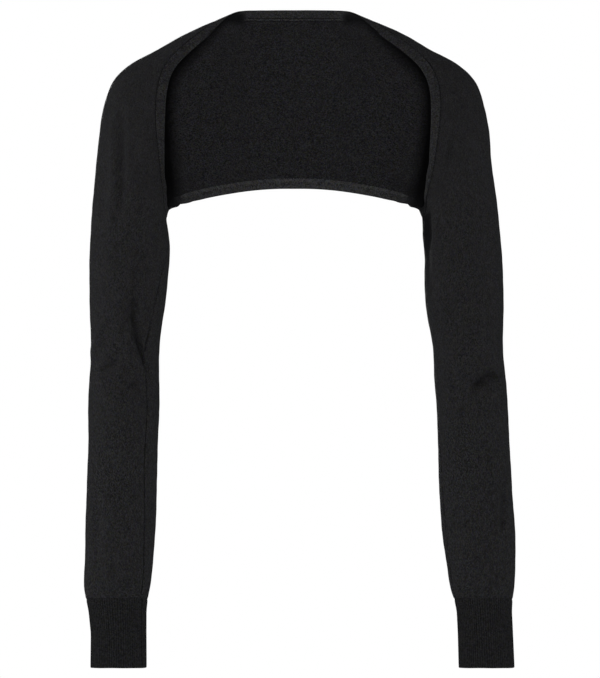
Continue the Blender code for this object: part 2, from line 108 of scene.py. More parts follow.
# Creases, each along a line bent once in the front view: a trough where the depth is negative, else a
# ridge. The lean says which side of the line falls away more steeply.
CREASE_COLUMNS = ("face", "out1", "up1", "out2", "up2", "out3", "up3", "width", "depth", "lean")
LEFT_CREASES = (
    ("front", 168, -286, 169.5, -330, 156, -370, 8, -4, 0),
    ("front", 174.5, -395, 169, -391, 162.5, -388.5, 5, -2, 0),
    ("front", 213, -366, 208, -350, 202, -333, 5, 1.5, 0),
    ("front", 207, -379, 195, -372, 183, -365, 6, -1.5, 0),
    ("front", 187, -114, 187.5, -165, 187, -214, 8, -1.5, 0),
    ("back", 205, -352, 180, -368, 158, -362, 9, -3, 0),
    ("back", 204, -392, 184, -398, 166, -388, 8, -2, 0),
)
LEFT_FINE_CREASES = (
    ("front", 166.8, -246, 167.8, -276, 168.6, -308, 2.5, -2, 0),
    ("front", 168.5, -298, 167.8, -327, 147, -398, 2.5, -2.6, 0),
    ("front", 165.5, -336, 158, -361, 152, -381, 2.4, -2.2, 0),
    ("front", 173.5, -322, 171, -350, 161, -382, 3.6, 2, 0),
    ("front", 178, -398, 169, -391.5, 159, -387, 2.6, -3, 0),
    ("front", 212, -372, 206.5, -350, 198, -322, 3.4, 2, 0),
    ("front", 212, -384, 197, -374, 178, -362, 4.5, -2.8, 0),
    ("front", 190.5, -98, 189.5, -165, 192.5, -245, 4.5, 2.5, 0.2),
    ("front", 180, -92, 179.5, -150, 181, -232, 4.5, -2.7, 0),
    ("front", 199.5, -140, 199.5, -182, 202, -236, 4, -1.8, 0),
    ("front", 156, -110, 153.5, -135, 157, -164, 6, 1.9, 0),
    ("front", 152, -300, 150, -330, 149, -356, 4, 1.2, 0),
    ("front", 205, -490, 206.5, -545, 204, -598, 4.5, -1.8, 0.3),
    ("front", 168, -384, 169, -404, 167, -440, 4.5, 2.2, 0),
    ("front", 168, -440, 165.5, -530, 167, -598, 4.5, 2.2, -0.3),
    ("front", 190, -560, 187, -585, 189, -606, 4, -1.6, 0),
    ("front", 164, -600, 163, -605, 160.5, -612, 2.3, -1.8, 0),
    ("front", 178, -398, 190, -404, 203, -401, 5, 1.4, 0.2),
    ("front", 180, -345, 190, -352, 201, -349, 4.5, -1.4, 0),
    ("front", 160, -222, 168, -236, 181, -244, 6, -1.4, 0),
    ("front", 141, -214, 146, -232, 156, -247, 4, -1.9, 0.2),
    ("back", 148, -216, 160, -232, 178, -242, 6, -3.2, 0.2),
    ("back", 142, -236, 153, -252, 167, -262, 5, -2.6, 0.2),
    ("back", 118, -176, 136, -158, 150, -132, 8, -3.2, 0),
    ("back", 102, -182, 118, -160, 128, -134, 7, 2, 0),
    ("back", 205, -353, 181, -369, 158, -363, 3, -3, 0),
    ("back", 208, -372, 190, -384, 170, -379, 4.5, 2.2, 0.3),
    ("back", 152, -330, 165, -344, 182, -346, 4, -2.4, 0),
    ("back", 190, -470, 189, -530, 192, -590, 5, 1.8, 0),
    ("back", 172, -560, 175, -585, 173, -607, 4, -1.8, 0),
    ("back", 196, -100, 199, -150, 198, -212, 5.5, 2, 0),
    ("back", 184, -120, 186, -160, 183, -205, 5, -1.8, 0),
)
# How far the underarm seam has turned towards the front, in degrees, by height.
LEFT_SEAM_TURN = ((-216, 0), (-240, 14), (-262, 24), (-280, 33), (-330, 47),
                  (-360, 52), (-420, 47), (-475, 50), (-545, 46), (-590, 40), (-640, 38))
CLOTH_THICKNESS = 1.45
HALF_CENTRE_GAP = 0.05
WALE = 1.25  # width of one column of stitches
COURSE = 1.0  # height of one row of stitches
SEAM_HALF_WIDTH = 0.7
SEAM_SINK = 1.1
EDGE_SINK = 0.2  # where the band grips the cloth
EDGE_GROOVE = 0.95  # just outside the band's lip, where its stitches pull the knit in
GROOVE_PLACE = 1.4
GROOVE_HALF_WIDTH = 0.8
HOLLOW_FREE = 1.5  # creases deeper than this get shade painted into their bottoms
HOLLOW_SHADE = 0.085  # of painted shade for each millimetre more
HOLLOW_DARKEST = 0.55
PAINTED_SHADE_DEPTH = 0.93  # the painted shade inside, right behind the front edges: the share of the light kept off
# By height: how far in from the edges their painted shade reaches, and how much of the band the front view
# shows.
PAINTED_SHADE_REACH = ((-50.0, 14.0), (-18.0, 7.0))
BAND_SHOWS = ((-50.0, 8.5), (-30.0, 5.95), (-8.0, 2.55))
WALL_SHADE = ((12.0, 1.0), (40.0, 0.45))  # the painted shade by the way behind the edge, as a share of the deepest
# The shade painted where the opening ends under the arm: how far it reaches and how deep it is.
UNDERARM_REACH = 26.0
UNDERARM_DEPTH = 0.8
UNDERARM_FULL = 1.25  # above 1, the painted shade keeps its full depth for a stretch before it fades
# Along the right sleeve's underarm, where shade is painted: the height, the share of light kept off, and how
# wide the shade is.
FOLD_SHADE = (
    (-205.0, 0.99, 7.2), (-232.0, 0.99, 7.2), (-255.0, 0.85, 6.0), (-280.0, 0.4, 6.0), (-310.0, 0.0, 5.0),
)
FOLD_FULL = 1.35
CREST_WAY = 63.0  # where the neck edge crosses the shoulder line
CREASE_TAPER = 3.5  # creases have their full depth but for the outer parts of their length
SIDE_FADE = 2.5  # how fast they fade out round the sides of the arm
# The columns of a panel, as shares of the way from its front edge to its back edge: the ones next to
# each edge, and where the even ones between them start.
EDGE_COLUMNS = (0.0, 0.0009, 0.0019, 0.0032, 0.0047, 0.0066, 0.0095, 0.0135)
EVEN_FROM = 0.02
EVEN_COLUMNS = 122
BACK_ROWS = 132
SLEEVE_ROWS = 175
FINE_STEPS = 900
EDGE_STEPS = 160
WELD = 0.002  # points nearer than this become one
RIGHT_ROWS_ON = 731.0  # the right half counts on from here, so that its specks don't mirror the left's
SLOW_WAVE = 0.22
QUICK_WAVE = 0.12


def spline_bends(at, rows):
    """The bends of a natural cubic spline through the rows."""
    count = len(at)
    step = np.diff(at)
    matrix = np.eye(count)
    right_side = np.zeros_like(rows)
    for i in range(1, count - 1):
        matrix[i, i - 1 : i + 2] = step[i - 1], 2.0 * (step[i - 1] + step[i]), step[i]
        after = (rows[i + 1] - rows[i]) / step[i]
        before = (rows[i] - rows[i - 1]) / step[i - 1]
        right_side[i] = 6.0 * (after - before)
    return np.linalg.solve(matrix, right_side)


def spline_read(at, rows, bends, where):
    """The rows between the given ones, read from that spline."""
    where = np.asarray(where, float)
    i = np.clip(np.searchsorted(at, where) - 1, 0, len(at) - 2)
    step = at[i + 1] - at[i]
    right = ((where - at[i]) / step)[..., None]
    left = 1.0 - right
    curved = (left**3 - left) * bends[i] + (right**3 - right) * bends[i + 1]
    return left * rows[i] + right * rows[i + 1] + curved * (step**2)[..., None] / 6.0


def read_rows(rows, where, column=1):
    """One column of a short table by the place in its first column, even between the rows."""
    table = np.array(sorted(rows))
    return np.interp(where, table[:, 0], table[:, column])


def unit(vectors):
    return vectors / np.linalg.norm(vectors, axis=-1, keepdims=True)


def run_along(spots, axis=0):
    """How far along its row each spot lies."""
    steps = np.cumsum(np.linalg.norm(np.diff(spots, axis=axis), axis=-1), axis=axis)
    return np.concatenate((np.zeros_like(steps.take([0], axis)), steps), axis=axis)


def crease_lift(across, up, crease):
    """How far one crease moves spots of the front view in or out."""
    ends = [np.array((crease["out%d" % n], crease["up%d" % n])) for n in (1, 2, 3)]
    lengths = [np.linalg.norm(ends[1] - ends[0]), np.linalg.norm(ends[2] - ends[1])]
    spots = np.stack((across, up), axis=-1)
    best = np.full(across.shape, 1e9)
    share = np.zeros(across.shape)
    side = np.zeros(across.shape)
    for i, length in enumerate(lengths):
        run = (ends[i + 1] - ends[i]) / length
        t = np.clip((spots - ends[i]) @ run, 0.0, length)
        away = spots - ends[i] - t[..., None] * run
        distance = np.linalg.norm(away, axis=-1)
        nearer = distance < best
        best = np.where(nearer, distance, best)
        share = np.where(nearer, (t + (lengths[0] if i else 0.0)) / sum(lengths), share)
        side = np.where(nearer, np.sign(away[..., 0] * run[1] - away[..., 1] * run[0]), side)
    taper = np.minimum(1.0, CREASE_TAPER * np.minimum(share, 1.0 - share))
    width = crease["width"] * (1.0 + crease["lean"] * side)
    return crease["depth"] * taper * np.exp(-((best / width) ** 2))


class Panel:
    """Where the cloth of one half lies: by its way from the centre back and its angle round the arm."""

    def __init__(self, side, sleeve, creases, seam_turn):
        self.side = side
        self.sign = -1.0 if side == "left" else 1.0
        edge_column = BACK_COLUMNS.index(side + "_edge")
        hem_column = BACK_COLUMNS.index("hem")
        shape = len(SLEEVE_COLUMNS)
        rows = [row[:shape] for row in BACK] + list(sleeve)
        self.table = np.array(rows)
        self.at = run_along(self.table[:, :2])
        self.bends = spline_bends(self.at, self.table)
        self.underarm = self.at[len(BACK) - 1]
        self.wrist = self.at[-1]
        # The cuts are read by the root of the way left to the underarm, so that they meet in a round.
        self.cut_at = np.sqrt(self.underarm - self.at[: len(BACK)])[::-1]
        self.cut_table = np.array([(row[edge_column], row[hem_column]) for row in BACK])[::-1]
        self.cut_bends = spline_bends(self.cut_at, self.cut_table)
        self.creases = [dict(zip(CREASE_COLUMNS, row)) for row in creases]
        self.seam_turn = seam_turn

    def section(self, way):
        row = spline_read(self.at, self.table, self.bends, way)
        return dict(zip(SLEEVE_COLUMNS, np.moveaxis(row, -1, 0)))

    def cuts(self, way):
        left = np.sqrt(np.maximum(self.underarm - np.asarray(way, float), 0.0))
        edge, hem = np.moveaxis(spline_read(self.cut_at, self.cut_table, self.cut_bends, left), -1, 0)
        return -edge, hem

    def bare(self, way, angle):
        """The smooth outer face, without creases."""
        row = self.section(way)
        turn = np.radians(angle)
        inward = 0.5 * (1.0 - np.cos(turn))
        out = row["top_out"] + (row["foot_out"] - row["top_out"]) * inward
        up = row["top_up"] + (row["foot_up"] - row["top_up"]) * inward
        depth = 0.5 * (row["front"] + row["back"]) + 0.5 * (row["back"] - row["front"]) * np.sin(turn)
        return np.stack((self.sign * out, depth, up), axis=-1)

    def slopes(self, way, angle):
        by_way = self.bare(way + 0.5, angle) - self.bare(way - 0.5, angle)
        by_angle = self.bare(way, angle + 0.5) - self.bare(way, angle - 0.5)
        return by_way, by_angle

    def outward(self, way, angle):
        by_way, by_angle = self.slopes(way, angle)
        return unit(np.cross(by_angle, by_way) * -self.sign)

    def raised(self, way, angle):
        """How far the creases move the cloth out, all together."""
        spot = self.bare(way, angle)
        row = self.section(way)
        # The creases of the front fade out over the sides, and so do those of the back.
        behind = (2.0 * spot[..., 1] - row["front"] - row["back"]) / (row["back"] - row["front"])
        in_front = np.clip(0.5 - SIDE_FADE * behind, 0.0, 1.0)
        total = np.zeros(spot.shape[:-1])
        for crease in self.creases:
            moved = crease_lift(self.sign * spot[..., 0], spot[..., 2], crease)
            total = total + moved * (in_front if crease["face"] == "front" else 1.0 - in_front)
        return total

    def cloth(self, way, angle, lift=0.0):
        """The outer face with its creases, moved out by the lift."""
        out = (self.raised(way, angle) + lift)[..., None]
        return self.bare(way, angle) + self.outward(way, angle) * out

    def seam_angle(self, way):
        """How far round the underarm seam lies: it starts at the underarm and turns to the front."""
        turn = read_rows(self.seam_turn, self.section(way)["foot_up"])
        return -180.0 + np.where(np.asarray(way) < self.underarm, 0.0, turn)


def column_shares():
    near = np.array(EDGE_COLUMNS)
    return np.concatenate((near, np.linspace(EVEN_FROM, 1.0 - EVEN_FROM, EVEN_COLUMNS), 1.0 - near[::-1]))


def panel_ways(panel):
    """The ways along at which a panel has a row of points, evenly spaced by how far its edges run."""
    fine = np.linspace(0.0, panel.underarm, FINE_STEPS)
    travel = sum(run_along(panel.bare(fine, line)) for line in (np.zeros_like(fine), *panel.cuts(fine)))
    back = np.interp(np.linspace(0.0, travel[-1], BACK_ROWS), travel, fine)
    sleeve = np.linspace(panel.underarm, panel.wrist, SLEEVE_ROWS + 1)[1:]
    return np.concatenate((back, sleeve))


def gentle_waves(spots):
    """The slight unevenness of hanging knit, a fifth of a millimetre, worked out from sines."""
    x, y, z = np.moveaxis(spots, -1, 0)
    slow = np.sin(0.071 * x + 0.053 * z + 1.3) * np.sin(0.047 * y - 0.062 * z)
    quick = np.sin(0.21 * x - 0.13 * z + 0.7) * np.sin(0.17 * y + 0.19 * z + 2.1)
    return SLOW_WAVE * slow + QUICK_WAVE * quick


def painted_shade(spots, panels):
    """The shade painted into the colour of spots inside, beside and behind the front edges, from 0 to the
    deepest.
    """
    across, up = np.abs(spots[..., 0]), spots[..., 2]
    most = np.zeros(across.shape)
    for panel in panels:
        ways = np.linspace(CREST_WAY, panel.underarm, EDGE_STEPS)
        edge = panel.bare(ways, panel.cuts(ways)[0])
        edge_out, edge_up = np.abs(edge[:, 0]), edge[:, 2]
        order = np.argsort(edge_up)
        behind = across > np.interp(up, edge_up[order], edge_out[order])
        away = np.full(across.shape, 1e9)
        for out, height in zip(edge_out, edge_up):
            away = np.minimum(away, np.hypot(across - out, up - height))
        beside = np.clip(1.0 - (away - read_rows(BAND_SHOWS, up)) / read_rows(PAINTED_SHADE_REACH, up), 0.0, 1.0)
        # Further behind the edge the painted shade is lighter, because the walls there cast real shade of
        # their own.
        shade = PAINTED_SHADE_DEPTH * np.where(behind, read_rows(WALL_SHADE, away), beside)
        most = np.where(spots[..., 0] * panel.sign > 0.0, shade, most)
    return most


def fading(away, reach, full, most=1.0):
    """A painted shade that keeps its depth near its middle and fades out evenly beyond."""
    return np.clip(full - away / reach, 0.0, most)


def underarm_painted_shade(panel, spots):
    """The shade painted at the lower end of the opening, where the sleeve turns in under the arm."""
    meet = panel.cloth(panel.underarm, -180.0)
    away = np.linalg.norm(spots - meet, axis=-1)
    on_side = spots[..., 0] * panel.sign > 0.0
    return np.where(on_side, fading(away, UNDERARM_REACH, UNDERARM_FULL, UNDERARM_DEPTH), 0.0)


def sleeve_fold_painted_shade(panel, way, angle):
    """The same painted shade along the inner side of the sleeve that hangs closer to the body."""
    row = panel.section(way)
    long = np.hypot(row["top_out"] - row["foot_out"], row["top_up"] - row["foot_up"])
    from_foot = 0.5 * (1.0 + np.cos(np.radians(angle))) * long
    depth, wide = (read_rows(FOLD_SHADE, row["foot_up"], column) for column in (1, 2))
    return np.where(way >= panel.underarm - 1e-6, depth * fading(from_foot, wide, FOLD_FULL), 0.0)


def stitched_mesh():
    """A mesh to be built, and its layer for places among the stitches."""
    bm = bmesh.new()
    return bm, bm.loops.layers.uv.new("stitches")


def painted_shade_grid(bm, painted_shade_layer, lines, shades):
    """Points from rows of spots, each with its share of painted shade."""
    grid = [[bm.verts.new(spot * MM) for spot in line] for line in lines]
    for verts, amounts in zip(grid, shades):
        for vert, amount in zip(verts, amounts):
            vert[painted_shade_layer] = float(amount)
    return grid


def stitched_face(bm, stitches, verts, places, slot=0):
    """One smooth face, with its place among the stitches at each corner."""
    made = bm.faces.new(verts)
    made.material_index = slot
    made.smooth = True
    for loop, place in zip(made.loops, places):
        loop[stitches].uv = place


def finished(name, bm, materials):
    """The object of a closed mesh, with its faces turned outwards."""
    bmesh.ops.recalc_face_normals(bm, faces=bm.faces)
    mesh = bpy.data.meshes.new(name)
    bm.to_mesh(mesh)
    bm.free()
    for material in materials:
        mesh.materials.append(material)
    thing = bpy.data.objects.new(name, mesh)
    bpy.context.scene.collection.objects.link(thing)
    return thing


def knit_sheet(name, sides, uv, joined, shades, materials):
    """A closed thin wall from two grids of points, with its knit side out and its purl side in."""
    bm, stitches = stitched_mesh()
    # Each point carries the share of shade that is painted into its colour.
    painted_shade_layer = bm.verts.layers.float.new("painted_shade")
    grids = [painted_shade_grid(bm, painted_shade_layer, side, shade) for side, shade in zip(sides, shades)]
    places = {}
    for grid in grids:
        for verts, marks in zip(grid, uv):
            places.update(zip(verts, marks))

    def face(slot, *verts):
        stitched_face(bm, stitches, verts, [places[vert] for vert in verts], slot)

    knit, purl = grids
    rows, columns = len(knit), len(knit[0])
    for i in range(rows - 1):
        for j in range(columns - 1):
            face(0, knit[i][j], knit[i][j + 1], knit[i + 1][j + 1], knit[i + 1][j])
            face(1, purl[i][j], purl[i + 1][j], purl[i + 1][j + 1], purl[i][j + 1])
    for j in range(columns - 1):
        face(0, knit[0][j], purl[0][j], purl[0][j + 1], knit[0][j + 1])
        face(0, knit[-1][j], knit[-1][j + 1], purl[-1][j + 1], purl[-1][j])
    for i in range(rows - 1):
        if not joined[i]:
            face(0, knit[i][0], knit[i + 1][0], purl[i + 1][0], purl[i][0])
            face(0, knit[i][-1], purl[i][-1], purl[i + 1][-1], knit[i + 1][-1])
    bmesh.ops.remove_doubles(bm, verts=bm.verts, dist=WELD * MM)
    return finished(name, bm, materials)


def half_panel(panel, name, materials):
    """The sleeve and half back of one side, as a thin wall with its edges and underarm seam drawn in."""
    ways = panel_ways(panel)
    shares = column_shares()
    first, last = panel.cuts(ways)
    sleeve = ways >= panel.underarm - 1e-6
    seam = panel.seam_angle(ways)
    first = np.where(sleeve, seam, first)
    last = np.where(sleeve, seam + 360.0, last)
    angle = first[:, None] + (last - first)[:, None] * shares[None, :]
    way = np.repeat(ways[:, None], len(shares), axis=1)
    bare = panel.bare(way, angle)
    across = run_along(bare, 1)
    along = run_along(bare)
    from_edge = np.minimum(across, across[:, -1:] - across)
    soft = np.exp(-((from_edge / SEAM_HALF_WIDTH) ** 2))
    sink = -soft * np.where(sleeve, SEAM_SINK, EDGE_SINK)[:, None]
    groove = EDGE_GROOVE * np.exp(-(((from_edge - GROOVE_PLACE) / GROOVE_HALF_WIDTH) ** 2))
    groove = np.where(sleeve[:, None], 0.0, groove)
    lift = sink + gentle_waves(bare)
    outer = panel.cloth(way, angle, lift - groove)
    inner = panel.cloth(way, angle, lift - CLOTH_THICKNESS)
    for side in (outer, inner):
        side[0, :, 0] = panel.sign * HALF_CENTRE_GAP
    middle = across[:, len(shares) // 2][:, None]
    first_row = RIGHT_ROWS_ON if panel.side == "right" else 0.0
    uv = np.stack(((across - middle) / WALE, along / COURSE + first_row), axis=-1)
    joined = sleeve[:-1] & sleeve[1:]
    # Shade painted into the bottoms of deep creases, and on the right sleeve along its underarm.
    outer_painted_shade = HOLLOW_SHADE * (-panel.raised(way, angle) - HOLLOW_FREE)
    outer_painted_shade = np.clip(outer_painted_shade, 0.0, HOLLOW_DARKEST)
    if panel.side == "right":
        outer_painted_shade = np.maximum(outer_painted_shade, sleeve_fold_painted_shade(panel, way, angle))
    shades = (outer_painted_shade, painted_shade(inner, (panel,)))
    return knit_sheet(name, (outer, inner), uv, joined, shades, materials)


# How far a stitch's legs slant, and how much their loops stand out.
LEGS = {"knit": (1.4, 0.5), "rib": (1.2, 0.2)}
LEG_FLOOR = 0.3  # how high the lowest part of a leg still stands
PURL_ARCH = 0.22
RIB_CROWN = 3.6  # how round the tops of the rib's columns are
STITCH_FLOOR = 0.72  # the tone at the bottom of a stitch, where shade is painted
STITCH_LIGHT = 0.5  # how much lighter its top is painted, where the light falls
SMOOTH_TOPS = 0.12  # how much less rough its top is
FUZZ_SCALE = 900.0
FUZZ_SHARE = 0.3
FUZZ_BUMP = 0.35
CLOUD_SCALE = 34.0
CLOUD_SHARE = 0.08
TINT_SHARES = (0.16, 0.16, 0.48)  # the fibres differ more in blue than in red and green
TINT_DRAW = 3.0  # so that a tint isn't drawn as its speck is
BUMP_STRENGTH = 0.55
BUMP_DEPTH = 0.0004
BLOOM = {
    "Specular IOR Level": 0.015,
    "Sheen Weight": 0.012,
    "Sheen Roughness": 0.6,
    "Sheen Tint": (0.85, 0.88, 0.95, 1.0),
}


def knit_nodes(name, colour, rough, speckle, stitch):
    """A fine yarn material: a stitch pattern counted in stitches with shade painted between them, melange
    specks, the shade painted on the mesh, and a soft bloom.
    """
    material = bpy.data.materials.new(name)
    material.use_nodes = True
    tree = material.node_tree
    shader = tree.nodes["Principled BSDF"]
    links = tree.links

    def math_node(kind, a, b=0.0, c=None):
        node = tree.nodes.new("ShaderNodeMath")
        node.operation = kind
        for socket, value in zip(node.inputs, (a, b, c)):
            if value is None:
                continue
            if isinstance(value, (int, float)):
                socket.default_value = value
            else:
                links.new(value, socket)
        return node.outputs[0]

    place = tree.nodes.new("ShaderNodeUVMap")
    place.uv_map = "stitches"
    split = tree.nodes.new("ShaderNodeSeparateXYZ")
    links.new(place.outputs[0], split.inputs[0])
    wale, course = split.outputs[0], split.outputs[1]

    def wave(value):
        return math_node("SINE", math_node("MULTIPLY", value, 2.0 * math.pi))

    cell_row = course
    if stitch == "purl":
        # Rows of small arches, each row shifted over the last.
        arch = math_node("MULTIPLY", wave(wale), PURL_ARCH)
        height = math_node("MULTIPLY_ADD", wave(math_node("ADD", course, arch)), 0.5, 0.5)
    else:
        # Two slanting legs in each column meet in a V.
        slope, proud = LEGS[stitch]
        leg = math_node("ABSOLUTE", math_node("SUBTRACT", math_node("FRACT", wale), 0.5))
        slant = math_node("SUBTRACT", course, math_node("MULTIPLY", leg, slope))
        loops = math_node("MULTIPLY_ADD", wave(slant), proud, 1.0 - proud)
        if stitch == "knit":
            cell_row = slant
            raised = math_node("MULTIPLY_ADD", loops, 1.0 - LEG_FLOOR, LEG_FLOOR)
            height = math_node("MULTIPLY", wave(leg), raised)
        else:
            # The rib's columns are real, and shade is painted into the furrows between them.
            fall = math_node("MULTIPLY", math_node("MULTIPLY", leg, leg), RIB_CROWN)
            crown = math_node("SUBTRACT", 1.0, fall)
            height = math_node("MULTIPLY", crown, loops)

    solid = tree.nodes.new("ShaderNodeTexCoord")

    def cloudy(scale, detail):
        noise = tree.nodes.new("ShaderNodeTexNoise")
        noise.inputs["Scale"].default_value = scale
        noise.inputs["Detail"].default_value = detail
        links.new(solid.outputs["Object"], noise.inputs["Vector"])
        return noise.outputs["Fac"]

    fuzz = cloudy(FUZZ_SCALE, 1.0)
    clouds = cloudy(CLOUD_SCALE, 3.0)
    # Each leg of every stitch has a tone of its own.
    cell = tree.nodes.new("ShaderNodeCombineXYZ")
    links.new(math_node("FLOOR", math_node("MULTIPLY", wale, 2.0)), cell.inputs[0])
    links.new(math_node("FLOOR", cell_row), cell.inputs[1])
    specks = tree.nodes.new("ShaderNodeTexWhiteNoise")
    specks.noise_dimensions = "2D"
    links.new(cell.outputs[0], specks.inputs["Vector"])
    tints = tree.nodes.new("ShaderNodeTexWhiteNoise")
    tints.noise_dimensions = "4D"
    tints.inputs["W"].default_value = TINT_DRAW
    links.new(cell.outputs[0], tints.inputs["Vector"])

    # Shade painted between stitches, specks of lighter, bluer and browner fibre, and slow changes over the
    # cloth.
    cloud = math_node("MULTIPLY", math_node("SUBTRACT", clouds, 0.5), CLOUD_SHARE)
    plain = math_node("ADD", math_node("MULTIPLY_ADD", height, STITCH_LIGHT, STITCH_FLOOR), cloud)
    speck = math_node("MULTIPLY", math_node("SUBTRACT", specks.outputs["Value"], 0.5), speckle)
    speck = math_node("MULTIPLY_ADD", math_node("SUBTRACT", fuzz, 0.5), FUZZ_SHARE * speckle, speck)
    channels = tree.nodes.new("ShaderNodeSeparateColor")
    links.new(tints.outputs["Color"], channels.inputs[0])
    # The shade painted on each point of the mesh darkens the colour here.
    painted_shade_input = tree.nodes.new("ShaderNodeAttribute")
    painted_shade_input.attribute_name = "painted_shade"
    unshaded_share = math_node("SUBTRACT", 1.0, painted_shade_input.outputs["Fac"])
    combine = tree.nodes.new("ShaderNodeCombineColor")
    for channel, socket, share in zip(channels.outputs, combine.inputs, TINT_SHARES):
        hue = math_node("MULTIPLY", math_node("SUBTRACT", channel, 0.5), share * speckle)
        # Squared, so that specks look as much lighter as darker.
        tone = math_node("MULTIPLY_ADD", math_node("ADD", speck, hue), 0.5, 1.0)
        shade = math_node("MULTIPLY", plain, math_node("MULTIPLY", tone, tone))
        links.new(math_node("MULTIPLY", shade, unshaded_share), socket)
    tint = tree.nodes.new("ShaderNodeMix")
    tint.data_type = "RGBA"
    tint.blend_type = "MULTIPLY"
    tint.inputs["Factor"].default_value = 1.0
    tint.inputs[6].default_value = (*colour, 1.0)
    links.new(combine.outputs[0], tint.inputs[7])
    links.new(tint.outputs[2], shader.inputs["Base Color"])
    links.new(math_node("MULTIPLY_ADD", height, -SMOOTH_TOPS, rough), shader.inputs["Roughness"])

    bump = tree.nodes.new("ShaderNodeBump")
    bump.inputs["Strength"].default_value = BUMP_STRENGTH
    bump.inputs["Distance"].default_value = BUMP_DEPTH
    links.new(math_node("MULTIPLY_ADD", fuzz, FUZZ_BUMP, height), bump.inputs["Height"])
    links.new(bump.outputs[0], shader.inputs["Normal"])
    for socket, value in BLOOM.items():
        shader.inputs[socket].default_value = value
    return material


plain_knit = knit_nodes("plain_knit", (0.0087, 0.0087, 0.0090), rough=0.92, speckle=1.6, stitch="knit")
purl_side = knit_nodes("purl_side", (0.0089, 0.0089, 0.0094), rough=0.95, speckle=1.85, stitch="purl")

left_panel = Panel("left", LEFT_SLEEVE, LEFT_CREASES + LEFT_FINE_CREASES, LEFT_SEAM_TURN)
left_cloth = half_panel(left_panel, "left_sleeve_and_back", (plain_knit, purl_side))
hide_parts("left_half")
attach(left_cloth, "root")


# Right half
# The mirror of the left panel in the same knit and with the same seams. It hangs a little wider, and
# its creases gather at the elbow and under the arm.

RIGHT_SLEEVE = (
    (206, -150, 134, -223, -47.5, 47.5),
    (209.4, -175, 134.4, -238, -47, 47),
    (213.7, -205, 136.4, -256, -46, 46.5),
    (217.2, -240, 136.4, -276, -44.5, 46),
    (219.7, -275, 137.5, -299, -42, 45.5),
    (220.3, -310, 140.6, -324, -39, 45),
    (219.7, -340, 144.8, -346, -36, 44.5),
    (219.9, -362, 146.7, -364, -34, 44),
    (222.9, -388, 147.5, -388, -34, 42),
    (224.4, -412, 149.6, -412, -36, 37.5),
    (226, -450, 150.9, -450, -41, 29.5),
    (228.8, -500, 152.3, -500, -46, 19),
    (231.7, -550, 155.6, -550, -50, 8.5),
    (231.7, -585, 160.6, -585, -51, 2),
    (230.2, -605, 164, -605, -49, -2.5),
    (228.9, -614.7, 167.1, -614.7, -46.5, -6.5),
)
RIGHT_CREASES = (
    ("front", 184.5, -395, 200, -385, 216, -382, 7, -4, 0),
    ("front", 171, -352, 177, -371, 181, -385, 9, 1.5, 0),
    ("front", 219.5, -487, 221, -510, 216.5, -552, 8, -1.5, 0),
    ("front", 138.5, -198, 139.5, -224, 138, -252, 5, -3.5, 0),
    ("back", 212, -356, 188, -372, 164, -366, 9, -3, 0),
    ("back", 210, -398, 190, -404, 172, -393, 8, -2, 0),
)
RIGHT_FINE_CREASES = (
    ("front", 180, -399.5, 206, -380, 224, -387, 2.7, -3, 0),
    ("front", 181, -399, 190, -391.5, 200, -384, 2.4, -1.4, 0),
    ("front", 205, -378, 213.5, -384, 217, -398, 2.5, -3.2, 0),
    ("front", 172, -350, 175.5, -368, 177, -390, 7, 2.4, 0.3),
    ("front", 163, -378, 165, -392, 161, -412, 5, 2, 0),
    ("front", 180, -288, 180, -320, 178, -352, 5.5, 2.3, 0),
    ("front", 165, -288, 165, -318, 168, -342, 4.5, -1.9, 0),
    ("front", 219.7, -482, 220.5, -512, 216.5, -560, 3, -2.6, 0),
    ("front", 134, -185, 136.5, -226, 141, -300, 4, -3.2, 0),
    ("front", 143.5, -200, 144, -226, 147, -272, 3.5, 0.6, 0),
    ("front", 169, -116, 163, -138, 159.5, -172, 4.5, -2.4, 0),
    ("front", 187, -112, 190, -160, 188, -206, 6, -1.4, 0.2),
    ("front", 204, -96, 202, -150, 206, -206, 5, 1.2, 0),
    ("front", 150, -215, 158, -232, 170, -243, 5, -1.7, 0.2),
    ("front", 196, -402, 206, -400, 217, -404, 5, 1.6, 0),
    ("front", 158, -404, 157, -416, 158, -430, 4, 1.5, 0),
    ("front", 176, -480, 178, -540, 184, -596, 5, 1.6, 0.2),
    ("front", 200, -440, 203, -500, 205, -560, 5.5, -1.4, 0),
    ("front", 172, -590, 170, -600, 171, -611, 3, 1.7, 0),
    ("front", 205, -590, 203, -602, 205, -613, 3, -1.7, 0),
    ("back", 149, -216, 162, -230, 180, -239, 6, -3, 0.2),
    ("back", 144, -238, 156, -253, 171, -264, 5, -2.4, 0.2),
    ("back", 118, -178, 134, -160, 148, -134, 8, -3, 0),
    ("back", 100, -184, 114, -164, 126, -138, 7, 2, 0),
    ("back", 212, -357, 189, -373, 164, -367, 3, -3.2, 0),
    ("back", 214, -378, 196, -390, 176, -384, 4.5, 2.2, 0.3),
    ("back", 158, -334, 171, -348, 188, -349, 4, -2.2, 0),
    ("back", 200, -470, 202, -530, 206, -590, 5, 1.8, 0),
    ("back", 184, -560, 187, -585, 186, -607, 4, -1.8, 0),
    ("back", 198, -100, 200, -150, 201, -212, 5.5, 2, 0),
    ("back", 187, -118, 185, -158, 189, -202, 5, -1.8, 0),
)
RIGHT_SEAM_TURN = ((-216, 0), (-260, -8), (-330, -6), (-400, 4), (-440, 14),
                   (-470, 22), (-550, 26), (-610, 20))

right_panel = Panel("right", RIGHT_SLEEVE, RIGHT_CREASES + RIGHT_FINE_CREASES, RIGHT_SEAM_TURN)
right_cloth = half_panel(right_panel, "right_sleeve_and_back", (plain_knit, purl_side))
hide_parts("right_half")
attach(right_cloth, "root")


# Neck and front band
# A narrow strip of the same knit, folded along its length and linked over the raw edge from underarm to
# underarm, round the front edges and over the nape. It rolls in a little down the fronts.

